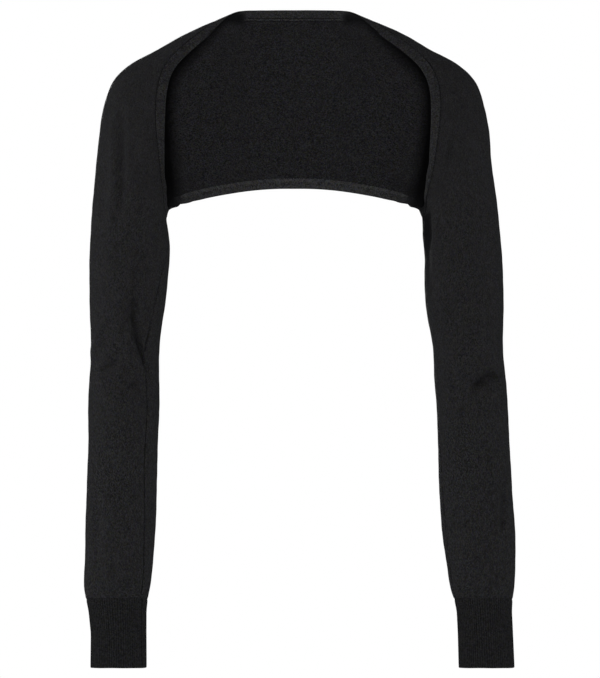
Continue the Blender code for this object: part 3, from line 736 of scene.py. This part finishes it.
SEAM_GAP = 0.3
BAND_WIDTH = 9.5
BAND_ROLL_COLUMNS = ("up", "left", "right")
BAND_ROLL = (
    (0, 0, 0),
    (-20, 12, 12),
    (-45, 25, 22),
    (-70, 12, 12),
    (-96, 8, 8),
    (-116, 18, 22),
    (-134, 40, 38),
    (-151, 62, 50),
    (-168, 80, 62),
    (-185, 80, 78),
    (-198, 60, 62),
    (-209, 25, 25),
    (-216, 0, 0),
)
ROLL_RADIUS = 3.0
NAPE_SHADE = 0.2  # painted shade on the strip's inner face behind the neck
NAPE_FLOOR = -24.0  # the height down to which the edge counts as the nape
# The nape's corners, where shade is painted: the side, how far out, how wide the shade is, and how much it
# leans out going down.
NAPE_CORNERS = ((-1.0, 63.0, 6.5, 0.8), (1.0, 62.5, 4.8, 1.2))
# How long the corners' painted shade stays full, and how deep it is.
CORNER_FULL = 1.5
CORNER_DEPTH = 0.97
# Low down the left and the right front the strip turns its face away from the light, and shade is painted on
# it: the shade, the height below which it is full, and the height where it ends.
LOW_FRONTS = ((0.2, -166.0, -154.0), (0.8, -202.0, -195.0))
RISE_RUN = (38.0, 66.0)  # how far from the centre back the fold's rise starts to fade, and is gone
BEND_REACH = 5.0
MOST_BEND = 0.2
SEAM_POINTS = 420
SEAM_STEPS = 400
EVENED_OVER = 17  # steps of the seam, a few millimetres
SPOT_STEPS = 12
CLOTH_ANGLE = 40.0  # lies in the cloth of every section that turns round the opening
# The folded strip's cross-section: the reach from the free edge into the cloth, and the lift over the
# cloth's outer face. Its two layers close over the cloth's raw edge.
BAND_SECTION = (
    (10.1, 0.04), (10.05, 0.25), (9.7, 0.40), (9.0, 0.44), (7.0, 0.46), (4.8, 0.47), (2.8, 0.40), (1.3, 0.22),
    (0.4, -0.15), (0.0, -0.75), (0.4, -1.4), (1.3, -1.8), (2.8, -1.98), (4.8, -2.02), (7.0, -1.98),
    (8.7, -1.92), (9.8, -1.92), (10.6, -1.85), (10.9, -1.6), (9.72, -1.55), (9.72, 0.02),
)
FREE_EDGE = 9  # the section's point at the fold
INNER_FACE = 11  # a point of its inner layer
INNER_LIP = slice(15, 19)  # the points at the inner layer's raw edge


class Opening:
    """One side of the body opening's seam: down the front edge, or along the hem."""

    def __init__(self, panel, which):
        self.panel = panel
        self.which = which
        self.way = np.sin(np.linspace(0.0, 0.5 * math.pi, SEAM_POINTS)) * panel.underarm
        angle = panel.cuts(self.way)[0 if which == "edge" else 1]
        spots = panel.cloth(self.way, angle)
        self.run = run_along(spots)
        tangent = np.gradient(spots, self.run, axis=0)
        tangent[0] = (panel.sign, 0.0, 0.0)
        tangent[-1] = (0.0, 1.0 if which == "edge" else -1.0, 0.0)
        by_way, by_angle = panel.slopes(self.way, angle)
        normal = panel.outward(self.way, angle)
        across = unit(np.cross(normal, tangent))
        towards_cloth = by_way - by_angle * np.sign(angle - CLOTH_ANGLE)[:, None]
        flip = np.sum(across * towards_cloth, axis=1) > 0.0
        across = np.where(flip[:, None], -across, across)
        bend = []
        for i in range(len(self.way)):
            basis = np.column_stack((by_way[i], by_angle[i]))
            step = np.linalg.lstsq(basis, -across[i] * BEND_REACH, rcond=None)[0]
            within = panel.outward(self.way[i] + step[0], angle[i] + step[1])
            bend.append(math.asin(float(np.clip(within @ -across[i], 0.0, MOST_BEND))) / BEND_REACH)
        even = np.linspace(0.0, self.run[-1], SEAM_STEPS)
        kernel = np.hanning(EVENED_OVER)
        padded = np.pad(np.interp(even, self.run, bend), EVENED_OVER // 2, mode="edge")
        bend = np.interp(self.run, even, np.convolve(padded, kernel / kernel.sum(), mode="valid"))
        self.columns = np.column_stack((spots, across, normal, bend))

    def roll(self, up):
        if self.which == "hem":
            return np.zeros_like(up)
        return np.radians(read_rows(BAND_ROLL, up, BAND_ROLL_COLUMNS.index(self.panel.side)))

    def spot(self, run, reach, lift):
        """Spots so far along the seam, across the band (below 0 into the cloth) and out of the face."""
        run, reach, lift = np.broadcast_arrays(*(np.asarray(v, float) for v in (run, reach, lift)))
        row = np.stack([np.interp(run, self.run, column) for column in self.columns.T], axis=-1)
        spot, across, normal, bend = row[..., 0:3], unit(row[..., 3:6]), unit(row[..., 6:9]), row[..., 9]
        roll = self.roll(spot[..., 2])

        def turned(gone):
            return (bend * gone + np.minimum(roll, np.maximum(gone, 0.0) / ROLL_RADIUS))[..., None]

        step = reach / SPOT_STEPS
        for n in range(SPOT_STEPS):
            turn = turned((n + 0.5) * step)
            spot = spot + (across * np.cos(turn) - normal * np.sin(turn)) * step[..., None]
        turn = turned(reach)
        return spot + (normal * np.cos(turn) + across * np.sin(turn)) * lift[..., None]


def band_painted_shades(lines, left, right):
    """The shade painted on each point of a strip: it depends on its layer and on its place."""
    panels = (left.panel, right.panel)
    height = lines[..., 2]
    point = np.arange(lines.shape[1])
    if left.which == "hem":
        outside = np.maximum(*(underarm_painted_shade(panel, lines) for panel in panels))
    else:
        turned = [most * np.interp(height, (full, bare), (1.0, 0.0)) for most, full, bare in LOW_FRONTS]
        outside = np.where(lines[..., 0] < 0.0, *turned)
        # The strip folds over sharply at the corners of the nape, and shade is painted on it there.
        nape = np.full(height.shape, NAPE_SHADE)
        for sign, out, wide, slant in NAPE_CORNERS:
            away = np.abs(sign * lines[..., 0] + slant * height - out)
            nape = np.maximum(nape, fading(away, wide, CORNER_FULL, CORNER_DEPTH))
        turned_in = (height > NAPE_FLOOR) & (point >= FREE_EDGE - 1)
        outside = np.where(turned_in, nape, outside)
    inside = (point > FREE_EDGE) & (point < len(point) - 2)
    return np.where(inside, np.maximum(outside, painted_shade(lines, panels)), outside)


def tube_walls(bm, stitches, rings, place, slots=None):
    """The faces from each closed ring of points to the next. The place is read by ring and point."""
    count = len(rings[0])
    for i, (near, far) in enumerate(zip(rings, rings[1:])):
        for j in range(count):
            k = (j + 1) % count
            corners = [place(*corner) for corner in ((i, j), (i, j + 1), (i + 1, j + 1), (i + 1, j))]
            stitched_face(bm, stitches, (near[j], near[k], far[k], far[j]), corners, slots[j] if slots else 0)


def folded_band(name, left, right, materials, lip=0.0, rise=0.0):
    """One strip from underarm to underarm, closed at its ends: its inner layer may end deeper by the lip,
    and its fold may stand higher over the nape by the rise."""
    section = np.array(BAND_SECTION)
    section[INNER_LIP, 0] += lip
    lines = []
    for opening in (left, right):
        way = panel_ways(opening.panel)
        way = way[way <= opening.panel.underarm + 1e-6]
        run = np.interp(way, opening.way, opening.run)
        reach = SEAM_GAP + BAND_WIDTH - section[:, 0]
        # The cloth's waves and its drawn-in edge carry the band with them.
        bare = opening.spot(run, 0.0, 0.0)
        lift = section[None, :, 1] + gentle_waves(bare)[:, None] - 0.5 * EDGE_SINK
        higher = rise * np.interp(run, RISE_RUN, (1.0, 0.0))[:, None] * np.clip(reach / BAND_WIDTH, 0.0, 1.0)
        lines.append(opening.spot(run[:, None], reach[None, :] + higher, lift))
    lines = np.concatenate((lines[0][::-1], lines[1][1:]))
    bm, stitches = stitched_mesh()
    # Each point carries the share of shade that is painted into its colour.
    painted_shade_layer = bm.verts.layers.float.new("painted_shade")
    rings = painted_shade_grid(bm, painted_shade_layer, lines, band_painted_shades(lines, left, right))
    along = run_along(lines[:, INNER_FACE]) / WALE
    around = run_along(section) / COURSE
    around = np.append(around, around[-1] + 1.0 / COURSE)
    slots = [1 if FREE_EDGE < j < len(section) - 2 else 0 for j in range(len(section))]
    tube_walls(bm, stitches, rings, lambda i, j: (along[i], around[j]), slots)
    bm.faces.new(rings[0])
    bm.faces.new(rings[-1])
    strip = finished(name, bm, materials)
    strip.data.set_sharp_from_angle(angle=math.radians(60.0))
    return strip


band_knit = knit_nodes("band_knit", (0.0103, 0.0103, 0.0106), rough=0.92, speckle=1.8, stitch="knit")
# Its inner layer is the looser one, and looks paler.
band_inside = knit_nodes("band_inside", (0.0178, 0.0178, 0.0182), rough=0.94, speckle=1.6, stitch="purl")
left_edge = Opening(left_panel, "edge")
right_edge = Opening(right_panel, "edge")
band_cloths = (band_knit, band_inside)
front_band = folded_band("neck_and_front_band", left_edge, right_edge, band_cloths, lip=1.3, rise=0.8)
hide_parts("neck_band")
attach(front_band, "root")


# Hem band
# The same folded strip along the lower edge of the back, from underarm to underarm. Its ends meet the
# front band under the arms.

left_hem = Opening(left_panel, "hem")
right_hem = Opening(right_panel, "hem")
hem_strip = folded_band("back_hem_band", left_hem, right_hem, band_cloths)
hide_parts("hem_band")
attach(hem_strip, "root")


# Cuffs
# Deep tubes of one-by-one rib, knitted on finer needles so that they hug the wrist, and linked to the
# sleeve ends. The ribs are round columns with narrow furrows between them.

CUFF_COLUMNS = ("up", "outer", "inner", "front", "back")
LEFT_CUFF = (
    (-615, 217.9, 152.8, -46.5, -6.5),
    (-628, 215.1, 154.4, -44, -9),
    (-652, 212.7, 154.5, -43, -9.5),
    (-688, 213, 154.2, -42.5, -9.5),
)
RIGHT_CUFF = (
    (-615, 228.9, 167.3, -46.5, -6.5),
    (-628, 228, 170.2, -44, -9),
    (-652, 229.1, 171.4, -43, -9.5),
    (-688, 230.8, 172.4, -42.5, -9.5),
)
RIBS = 75
POINTS_A_RIB = 8
RIB_DEPTH = 0.55
RIB_ROUNDNESS = 0.6  # below 1, the ribs are wide and the furrows between them narrow
RIB_INSIDE = 0.3  # the depth of the inner face's furrows, as a share
RIB_PROUD = 0.1
CUFF_WALL = 1.8
CUFF_SWAY = 0.25
MOUTH_SWAY = 0.3
MOUTH_FROM = 0.9  # as a share of the cuff's height
# Down the cuff: the way below its top as a share, and how far its outer and inner faces draw in there.
CUFF_PROFILE = (
    (-0.012, 0.75, 1.35), (-0.009, 0.35, 1.75), (0.0, 0.15, 1.85),
    (0.01, 0.45, CUFF_WALL), (0.022, 0.55, CUFF_WALL), (0.04, 0.2, CUFF_WALL), (0.07, 0.02, CUFF_WALL),
    *((share, 0.0, CUFF_WALL) for share in np.linspace(0.14, 0.84, 11)),
    (0.9, 0.0, CUFF_WALL), (0.95, 0.0, CUFF_WALL), (0.985, 0.05, 1.75), (0.997, 0.3, 1.5), (1.0, 0.75, 1.1),
)


def cuff_ring(side, table, up, turn, inset):
    """Where the cuff's face lies at some heights and turns round it, so far in from its outline."""
    sign = -1.0 if side == "left" else 1.0
    size = {name: read_rows(table, up, column) for column, name in enumerate(CUFF_COLUMNS)}
    wide = 0.5 * (size["outer"] - size["inner"]) - inset
    deep = 0.5 * (size["back"] - size["front"]) - inset
    across = sign * 0.5 * (size["outer"] + size["inner"]) + wide * np.cos(turn)
    return across, 0.5 * (size["front"] + size["back"]) + deep * np.sin(turn)


def ribbed_cuff(name, side, table, material):
    """A ribbed tube with rounded ends, from its rings."""
    top, bottom = table[0][0], table[-1][0]
    count = RIBS * POINTS_A_RIB
    turn = 2.0 * math.pi * np.arange(count) / count
    phase = (np.arange(count) % POINTS_A_RIB) / POINTS_A_RIB
    furrow = RIB_DEPTH * (1.0 - np.abs(np.cos(math.pi * phase)) ** RIB_ROUNDNESS)
    # The tube hangs a little unevenly below its seam.
    sway = 0.35 * np.sin(3.0 * turn + 0.4) + 0.2 * np.sin(7.0 * turn + 1.9)
    bm, stitches = stitched_mesh()
    ups, rings = [], []
    for face in ("outer", "inner"):
        for share, outside, inside in (CUFF_PROFILE if face == "outer" else CUFF_PROFILE[::-1]):
            up = top + (bottom - top) * share
            inset = furrow + outside - RIB_PROUD if face == "outer" else inside + RIB_INSIDE * furrow
            inset = inset - CUFF_SWAY * sway * math.sin(math.pi * min(max(share, 0.0), 1.0))
            x, y = cuff_ring(side, table, up, turn, inset)
            z = np.full(count, up) + (MOUTH_SWAY * sway if share > MOUTH_FROM else 0.0)
            ups.append(up)
            rings.append([bm.verts.new(spot) for spot in np.stack((x, y, z), axis=-1) * MM])
    tube_walls(bm, stitches, rings + rings[:1],
               lambda i, j: (j / POINTS_A_RIB + 0.5, ups[i % len(ups)] / COURSE))
    return finished(name, bm, (material,))


rib_knit = knit_nodes("rib_knit", (0.0058, 0.0058, 0.0060), rough=0.94, speckle=1.05, stitch="rib")
for side, table in (("left", LEFT_CUFF), ("right", RIGHT_CUFF)):
    cuff = ribbed_cuff(side + "_ribbed_cuff", side, table, rib_knit)
    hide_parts(side + "_cuff")
    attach(cuff, "root")


# Linking stitches
# Chains of fine yarn join the bands to the cloth on the inside, where the nape and the hem show them,
# and one seam on the wrong side closes the centre back.

CHAIN_STITCH = 2.3
# Points along one leg of a chain link: the share of its length, how far it has spread, and how proud it is.
CHAIN_LEG = ((0.06, 0.15, -0.6), (0.3, 1.0, 1.0), (0.62, 0.95, 1.0), (0.9, 0.2, -0.4))
CHAIN_PROUD = 0.18
CHAIN_SWAY = 0.25
# Points along one running stitch: the share of its length, and how far out they lie.
RUNNING_STITCH = ((0.0, -0.3), (0.1, 0.0), (0.4, 0.05), (0.6, 0.0), (0.72, -0.3))
RUNNING_SWAY = 0.1
YARN_SIDES = 5
YARN_TIP = 0.45  # how thick the ends of a stitch are, as a share
NO_SEAM_WAY = (0.13, 0.31, 0.94)  # a direction that no stitch follows


def yarn_tubes(bm, stitches, lines, radius):
    """Round tubes with pointed ends along short lines of points."""
    for index, line in enumerate(lines):
        rings = []
        for i, spot in enumerate(line):
            ahead = line[min(i + 1, len(line) - 1)] - line[max(i - 1, 0)]
            ahead = ahead / (np.linalg.norm(ahead) + 1e-9)
            aside = unit(np.cross(ahead, NO_SEAM_WAY))
            above = np.cross(ahead, aside)
            thick = radius * (YARN_TIP if i in (0, len(line) - 1) else 1.0)
            turn = 2.0 * math.pi * np.arange(YARN_SIDES)[:, None] / YARN_SIDES
            round_it = aside * np.cos(turn) + above * np.sin(turn)
            rings.append([bm.verts.new(corner * MM) for corner in spot + round_it * thick])
        # A stitch is all one tone.
        tone = (index + 0.5, 0.5)
        tube_walls(bm, stitches, rings, lambda i, j: tone)
        bm.faces.new(rings[0][::-1])
        bm.faces.new(rings[-1])


def stitches_between(first, last, step, uneven, beat):
    """Where each stitch of a row starts, and how long it is: no two quite alike."""
    row = []
    run = first
    while run < last:
        long = step * (1.0 + uneven * math.sin(beat * len(row)))
        row.append((run, long))
        run += long
    return row


def chain_along(opening, reach, lift, first, last, wide):
    """The legs of chain stitches in a row along a seam: each link's two legs leave one hole and spread."""
    share, spread, proud = np.array(CHAIN_LEG).T
    legs = []
    for n, (run, long) in enumerate(stitches_between(first, last, CHAIN_STITCH, uneven=0.12, beat=2.7)):
        aside = CHAIN_SWAY * wide * math.sin(1.9 * n + 0.6)
        for way in (-1.0, 1.0):
            across = reach + way * wide * spread + aside
            legs.append(opening.spot(run + share * long, across, lift - CHAIN_PROUD * proud))
    return legs


def running_along(opening, reach, lift, first, last, step=3.1):
    """Straight stitches of uneven length with small gaps, in a row along a seam."""
    share, proud = np.array(RUNNING_STITCH).T
    row = []
    for n, (run, long) in enumerate(stitches_between(first, last, step, uneven=0.3, beat=1.7)):
        row.append(opening.spot(run + share * long, reach + RUNNING_SWAY * math.sin(2.3 * n), lift + proud))
    return row


def stitch_rows(name, material, radius, rows):
    """One object from rows of stitches, each side of the garment with its own row."""
    bm, stitches = stitched_mesh()
    for lines in rows:
        yarn_tubes(bm, stitches, lines, radius)
    thing = finished(name, bm, (material,))
    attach(thing, "root")
    return thing


pale_yarn = knit_nodes("pale_yarn", (0.0300, 0.0300, 0.0310), rough=0.85, speckle=1.5, stitch="rib")
grey_yarn = knit_nodes("grey_yarn", (0.0200, 0.0200, 0.0206), rough=0.85, speckle=1.8, stitch="rib")
# Near-black yarn paints the shade in the seams: darker than real stitches along the fronts and underarms, and
# alone as dark lines in the nape's gaps.
painted_shade_yarn = knit_nodes("painted_shade_yarn", (0.0012, 0.0012, 0.0013), rough=0.9, speckle=0.5, stitch="rib")
INSIDE = -2.08  # the depth of the band's inner face below the cloth's outer one
NAPE_RUN = 51.0  # along each side, as far as the nape's stitches show
NAPE_CHAIN = -1.1
NAPE_SHADE_LINES = ((0.75, -2.16), (-2.75, -1.75))  # where the painted shade lines lie in the gaps beside the chain, and how deep
HEM_CHAINS = (1.5, 0.5, -0.5)
HEM_SHORT = 52.0  # the hem's chains sink into the underarm seam so far before its end
FRONT_REACH = -0.8
FRONT_START = 70.0
FRONT_SHORTS = (58.0, 22.0)  # the stitches of the left and right front end so far above the underarm
stitch_rows("nape_chain_stitches", grey_yarn, radius=0.24, rows=[
    chain_along(edge, NAPE_CHAIN, INSIDE, 0.8, NAPE_RUN, wide=0.6) for edge in (left_edge, right_edge)])
stitch_rows("nape_painted_shade_lines", painted_shade_yarn, radius=0.36, rows=[
    running_along(edge, reach, lift, 0.4, NAPE_RUN, step=2.0)
    for edge in (left_edge, right_edge) for reach, lift in NAPE_SHADE_LINES])
stitch_rows("hem_chain_stitches", pale_yarn, radius=0.2, rows=[
    chain_along(hem, reach, INSIDE, 0.8 + 0.7 * row, hem.run[-1] - HEM_SHORT, wide=0.5)
    for hem in (left_hem, right_hem) for row, reach in enumerate(HEM_CHAINS)])
stitch_rows("front_edge_stitches", painted_shade_yarn, radius=0.4, rows=[
    running_along(edge, FRONT_REACH, 0.0, FRONT_START, edge.run[-1] - short)
    for edge, short in zip((left_edge, right_edge), FRONT_SHORTS)])


SEAM_STITCH = np.linspace(0.0, 0.98, 5)  # points along one stitch, with a small gap to the next
THREAD_SINK = 0.85  # of the thread in the sleeve's seam groove
THREAD_CLEAR = 2.0  # from both ends of the sleeve's seam
CUFF_CLEAR = 1.5
CUFF_SINK = 0.05
CUFF_SEAMS = (("left", LEFT_CUFF, -33.0), ("right", RIGHT_CUFF, -168.0))  # how far round the cuff, in degrees


def underarm_stitches(panel, step=5.5):
    """The thread at the bottom of the seam groove, from the underarm to the wrist."""
    row = []
    for n in range(int((panel.wrist - panel.underarm - 2.0 * THREAD_CLEAR) / step)):
        ways = panel.underarm + THREAD_CLEAR + step * (n + SEAM_STITCH)
        row.append(panel.cloth(ways, panel.seam_angle(ways), -THREAD_SINK))
    return row


def cuff_stitches(side, table, turn, step=4.6):
    """The same thread down the cuff's own seam."""
    top, bottom = table[0][0] - CUFF_CLEAR, table[-1][0] + CUFF_CLEAR
    row = []
    for n in range(int((top - bottom) / step)):
        ups = top - step * (n + SEAM_STITCH)
        across, deep = cuff_ring(side, table, ups, math.radians(turn), CUFF_SINK)
        row.append(np.stack((across, deep, ups), axis=-1))
    return row


sleeve_seams = [underarm_stitches(panel) for panel in (left_panel, right_panel)]
cuff_seams = [cuff_stitches(*seam) for seam in CUFF_SEAMS]
# The near-black thread paints the shade of the seam grooves over real stitches.
stitch_rows("underarm_seam_stitches", painted_shade_yarn, radius=0.34, rows=sleeve_seams + cuff_seams)

# The centre-back seam: a low rounded ridge on the wrong side, its section across and out of the cloth.
BACK_SEAM = (
    (-1.1, -1.38), (-0.8, -1.54), (-0.3, -1.62), (0.0, -1.56), (0.3, -1.62),
    (0.8, -1.54), (1.1, -1.38), (0.6, -1.3), (0.0, -1.25), (-0.6, -1.3),
)
BACK_SEAM_RINGS = 90
BACK_SEAM_SHORT = 0.6  # in degrees, from both edges
BACK_SEAM_STITCHES = (0.4, 2.2)  # from each point to the next, round the ridge and along it
first_cut, last_cut = (float(cut) for cut in left_panel.cuts(0.0))
seam_angles = np.linspace(first_cut + BACK_SEAM_SHORT, last_cut - BACK_SEAM_SHORT, BACK_SEAM_RINGS)
seam_line = left_panel.bare(np.zeros(BACK_SEAM_RINGS), seam_angles)
facing = left_panel.outward(np.zeros(BACK_SEAM_RINGS), seam_angles)
facing[:, 0] = 0.0
facing = unit(facing)
seam_line = seam_line + facing * gentle_waves(seam_line)[:, None]
seam_line[:, 0] = 0.0
sideways = np.array((1.0, 0.0, 0.0))
bm, seam_uv = stitched_mesh()
rings = [[bm.verts.new((spot + sideways * across + out * lift) * MM) for across, lift in BACK_SEAM]
         for spot, out in zip(seam_line, facing)]
tube_walls(bm, seam_uv, rings, lambda i, j: (j * BACK_SEAM_STITCHES[0], i * BACK_SEAM_STITCHES[1]))
bm.faces.new(rings[0])
bm.faces.new(rings[-1])
centre_seam = finished("centre_back_seam", bm, (purl_side,))
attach(centre_seam, "root")


# Floor, light and camera
# A plain white floor well below the hanging garment, an even white studio, and a camera far off, level
# with the middle of the garment.

FLOOR_LEVEL = -0.80
FLOOR_RADIUS = 1.1
bpy.ops.mesh.primitive_circle_add(
    vertices=64, radius=FLOOR_RADIUS, fill_type="NGON", location=(0.0, 0.0, FLOOR_LEVEL))
floor = bpy.context.object
floor.name = "floor"
floor_paint = bpy.data.materials.new("white_floor")
floor_paint.use_nodes = True
paint = floor_paint.node_tree.nodes["Principled BSDF"]
grain = floor_paint.node_tree.nodes.new("ShaderNodeTexNoise")
grain.inputs["Scale"].default_value = 40.0
shades = floor_paint.node_tree.nodes.new("ShaderNodeValToRGB")
shades.color_ramp.elements[0].color = (0.86, 0.86, 0.86, 1.0)
shades.color_ramp.elements[1].color = (0.90, 0.90, 0.90, 1.0)
floor_paint.node_tree.links.new(grain.outputs["Fac"], shades.inputs["Fac"])
floor_paint.node_tree.links.new(shades.outputs["Color"], paint.inputs["Base Color"])
paint.inputs["Roughness"].default_value = 0.9
floor.data.materials.append(floor_paint)

# The paper behind is white, and throws a softer light on the garment than it shows.
PAPER_WHITE = 1.0
PAPER_LIGHT = 0.32
studio = bpy.data.worlds.new("white_studio")
studio.use_nodes = True
air = studio.node_tree
air.nodes["Background"].inputs["Color"].default_value = (1.0, 1.0, 1.0, 1.0)
path_kind = air.nodes.new("ShaderNodeLightPath")
paper = air.nodes.new("ShaderNodeMapRange")
paper.inputs["To Min"].default_value = PAPER_LIGHT
paper.inputs["To Max"].default_value = PAPER_WHITE
air.links.new(path_kind.outputs["Is Camera Ray"], paper.inputs["Value"])
air.links.new(paper.outputs["Result"], air.nodes["Background"].inputs["Strength"])
bpy.context.scene.world = studio
bpy.context.scene.view_settings.view_transform = "Standard"
bpy.context.scene.view_settings.look = "None"

# The lamps' places, sizes and powers. All aim at the middle of the garment.
LAMP_AIM = (0.0, 0.0, -0.3)
LAMPS = (
    ("front_softbox", (-0.05, -3.6, 0.0), 1.0, 119.0),
    ("left_softbox", (-3.3, -0.35, 0.2), 1.2, 95.0),
    ("right_softbox", (3.0, -0.7, 0.1), 1.3, 41.0),
    ("back_softbox", (-0.7, 3.5, 0.5), 1.0, 105.0),
)
for name, place, size, power in LAMPS:
    lamp = bpy.data.lights.new(name, "AREA")
    lamp.size = size
    lamp.energy = power
    lamp_object = bpy.data.objects.new(name, lamp)
    lamp_object.location = place
    aim = np.array(LAMP_AIM) - np.array(place)
    tilt = math.atan2(math.hypot(aim[0], aim[1]), -aim[2])
    lamp_object.rotation_euler = (tilt, 0.0, math.atan2(-aim[0], aim[1]))
    bpy.context.scene.collection.objects.link(lamp_object)

CAMERA_DISTANCE = 8.0
CAMERA_REACH = 40.0
VIEW_WIDTH = 0.630  # across the picture, at the garment
VIEW_MIDDLE = (0.0063, -0.344)
SENSOR_WIDTH = 36.0
camera_lens = bpy.data.cameras.new("front_camera")
camera_lens.sensor_fit = "HORIZONTAL"
camera_lens.sensor_width = SENSOR_WIDTH
camera_lens.lens = SENSOR_WIDTH * CAMERA_DISTANCE / VIEW_WIDTH
front_camera = bpy.data.objects.new("front_camera", camera_lens)
front_camera.location = (VIEW_MIDDLE[0], -CAMERA_DISTANCE, VIEW_MIDDLE[1])
front_camera.rotation_euler = (math.radians(90.0), 0.0, 0.0)
camera_lens.clip_end = CAMERA_REACH
bpy.context.scene.collection.objects.link(front_camera)
bpy.context.scene.camera = front_camera
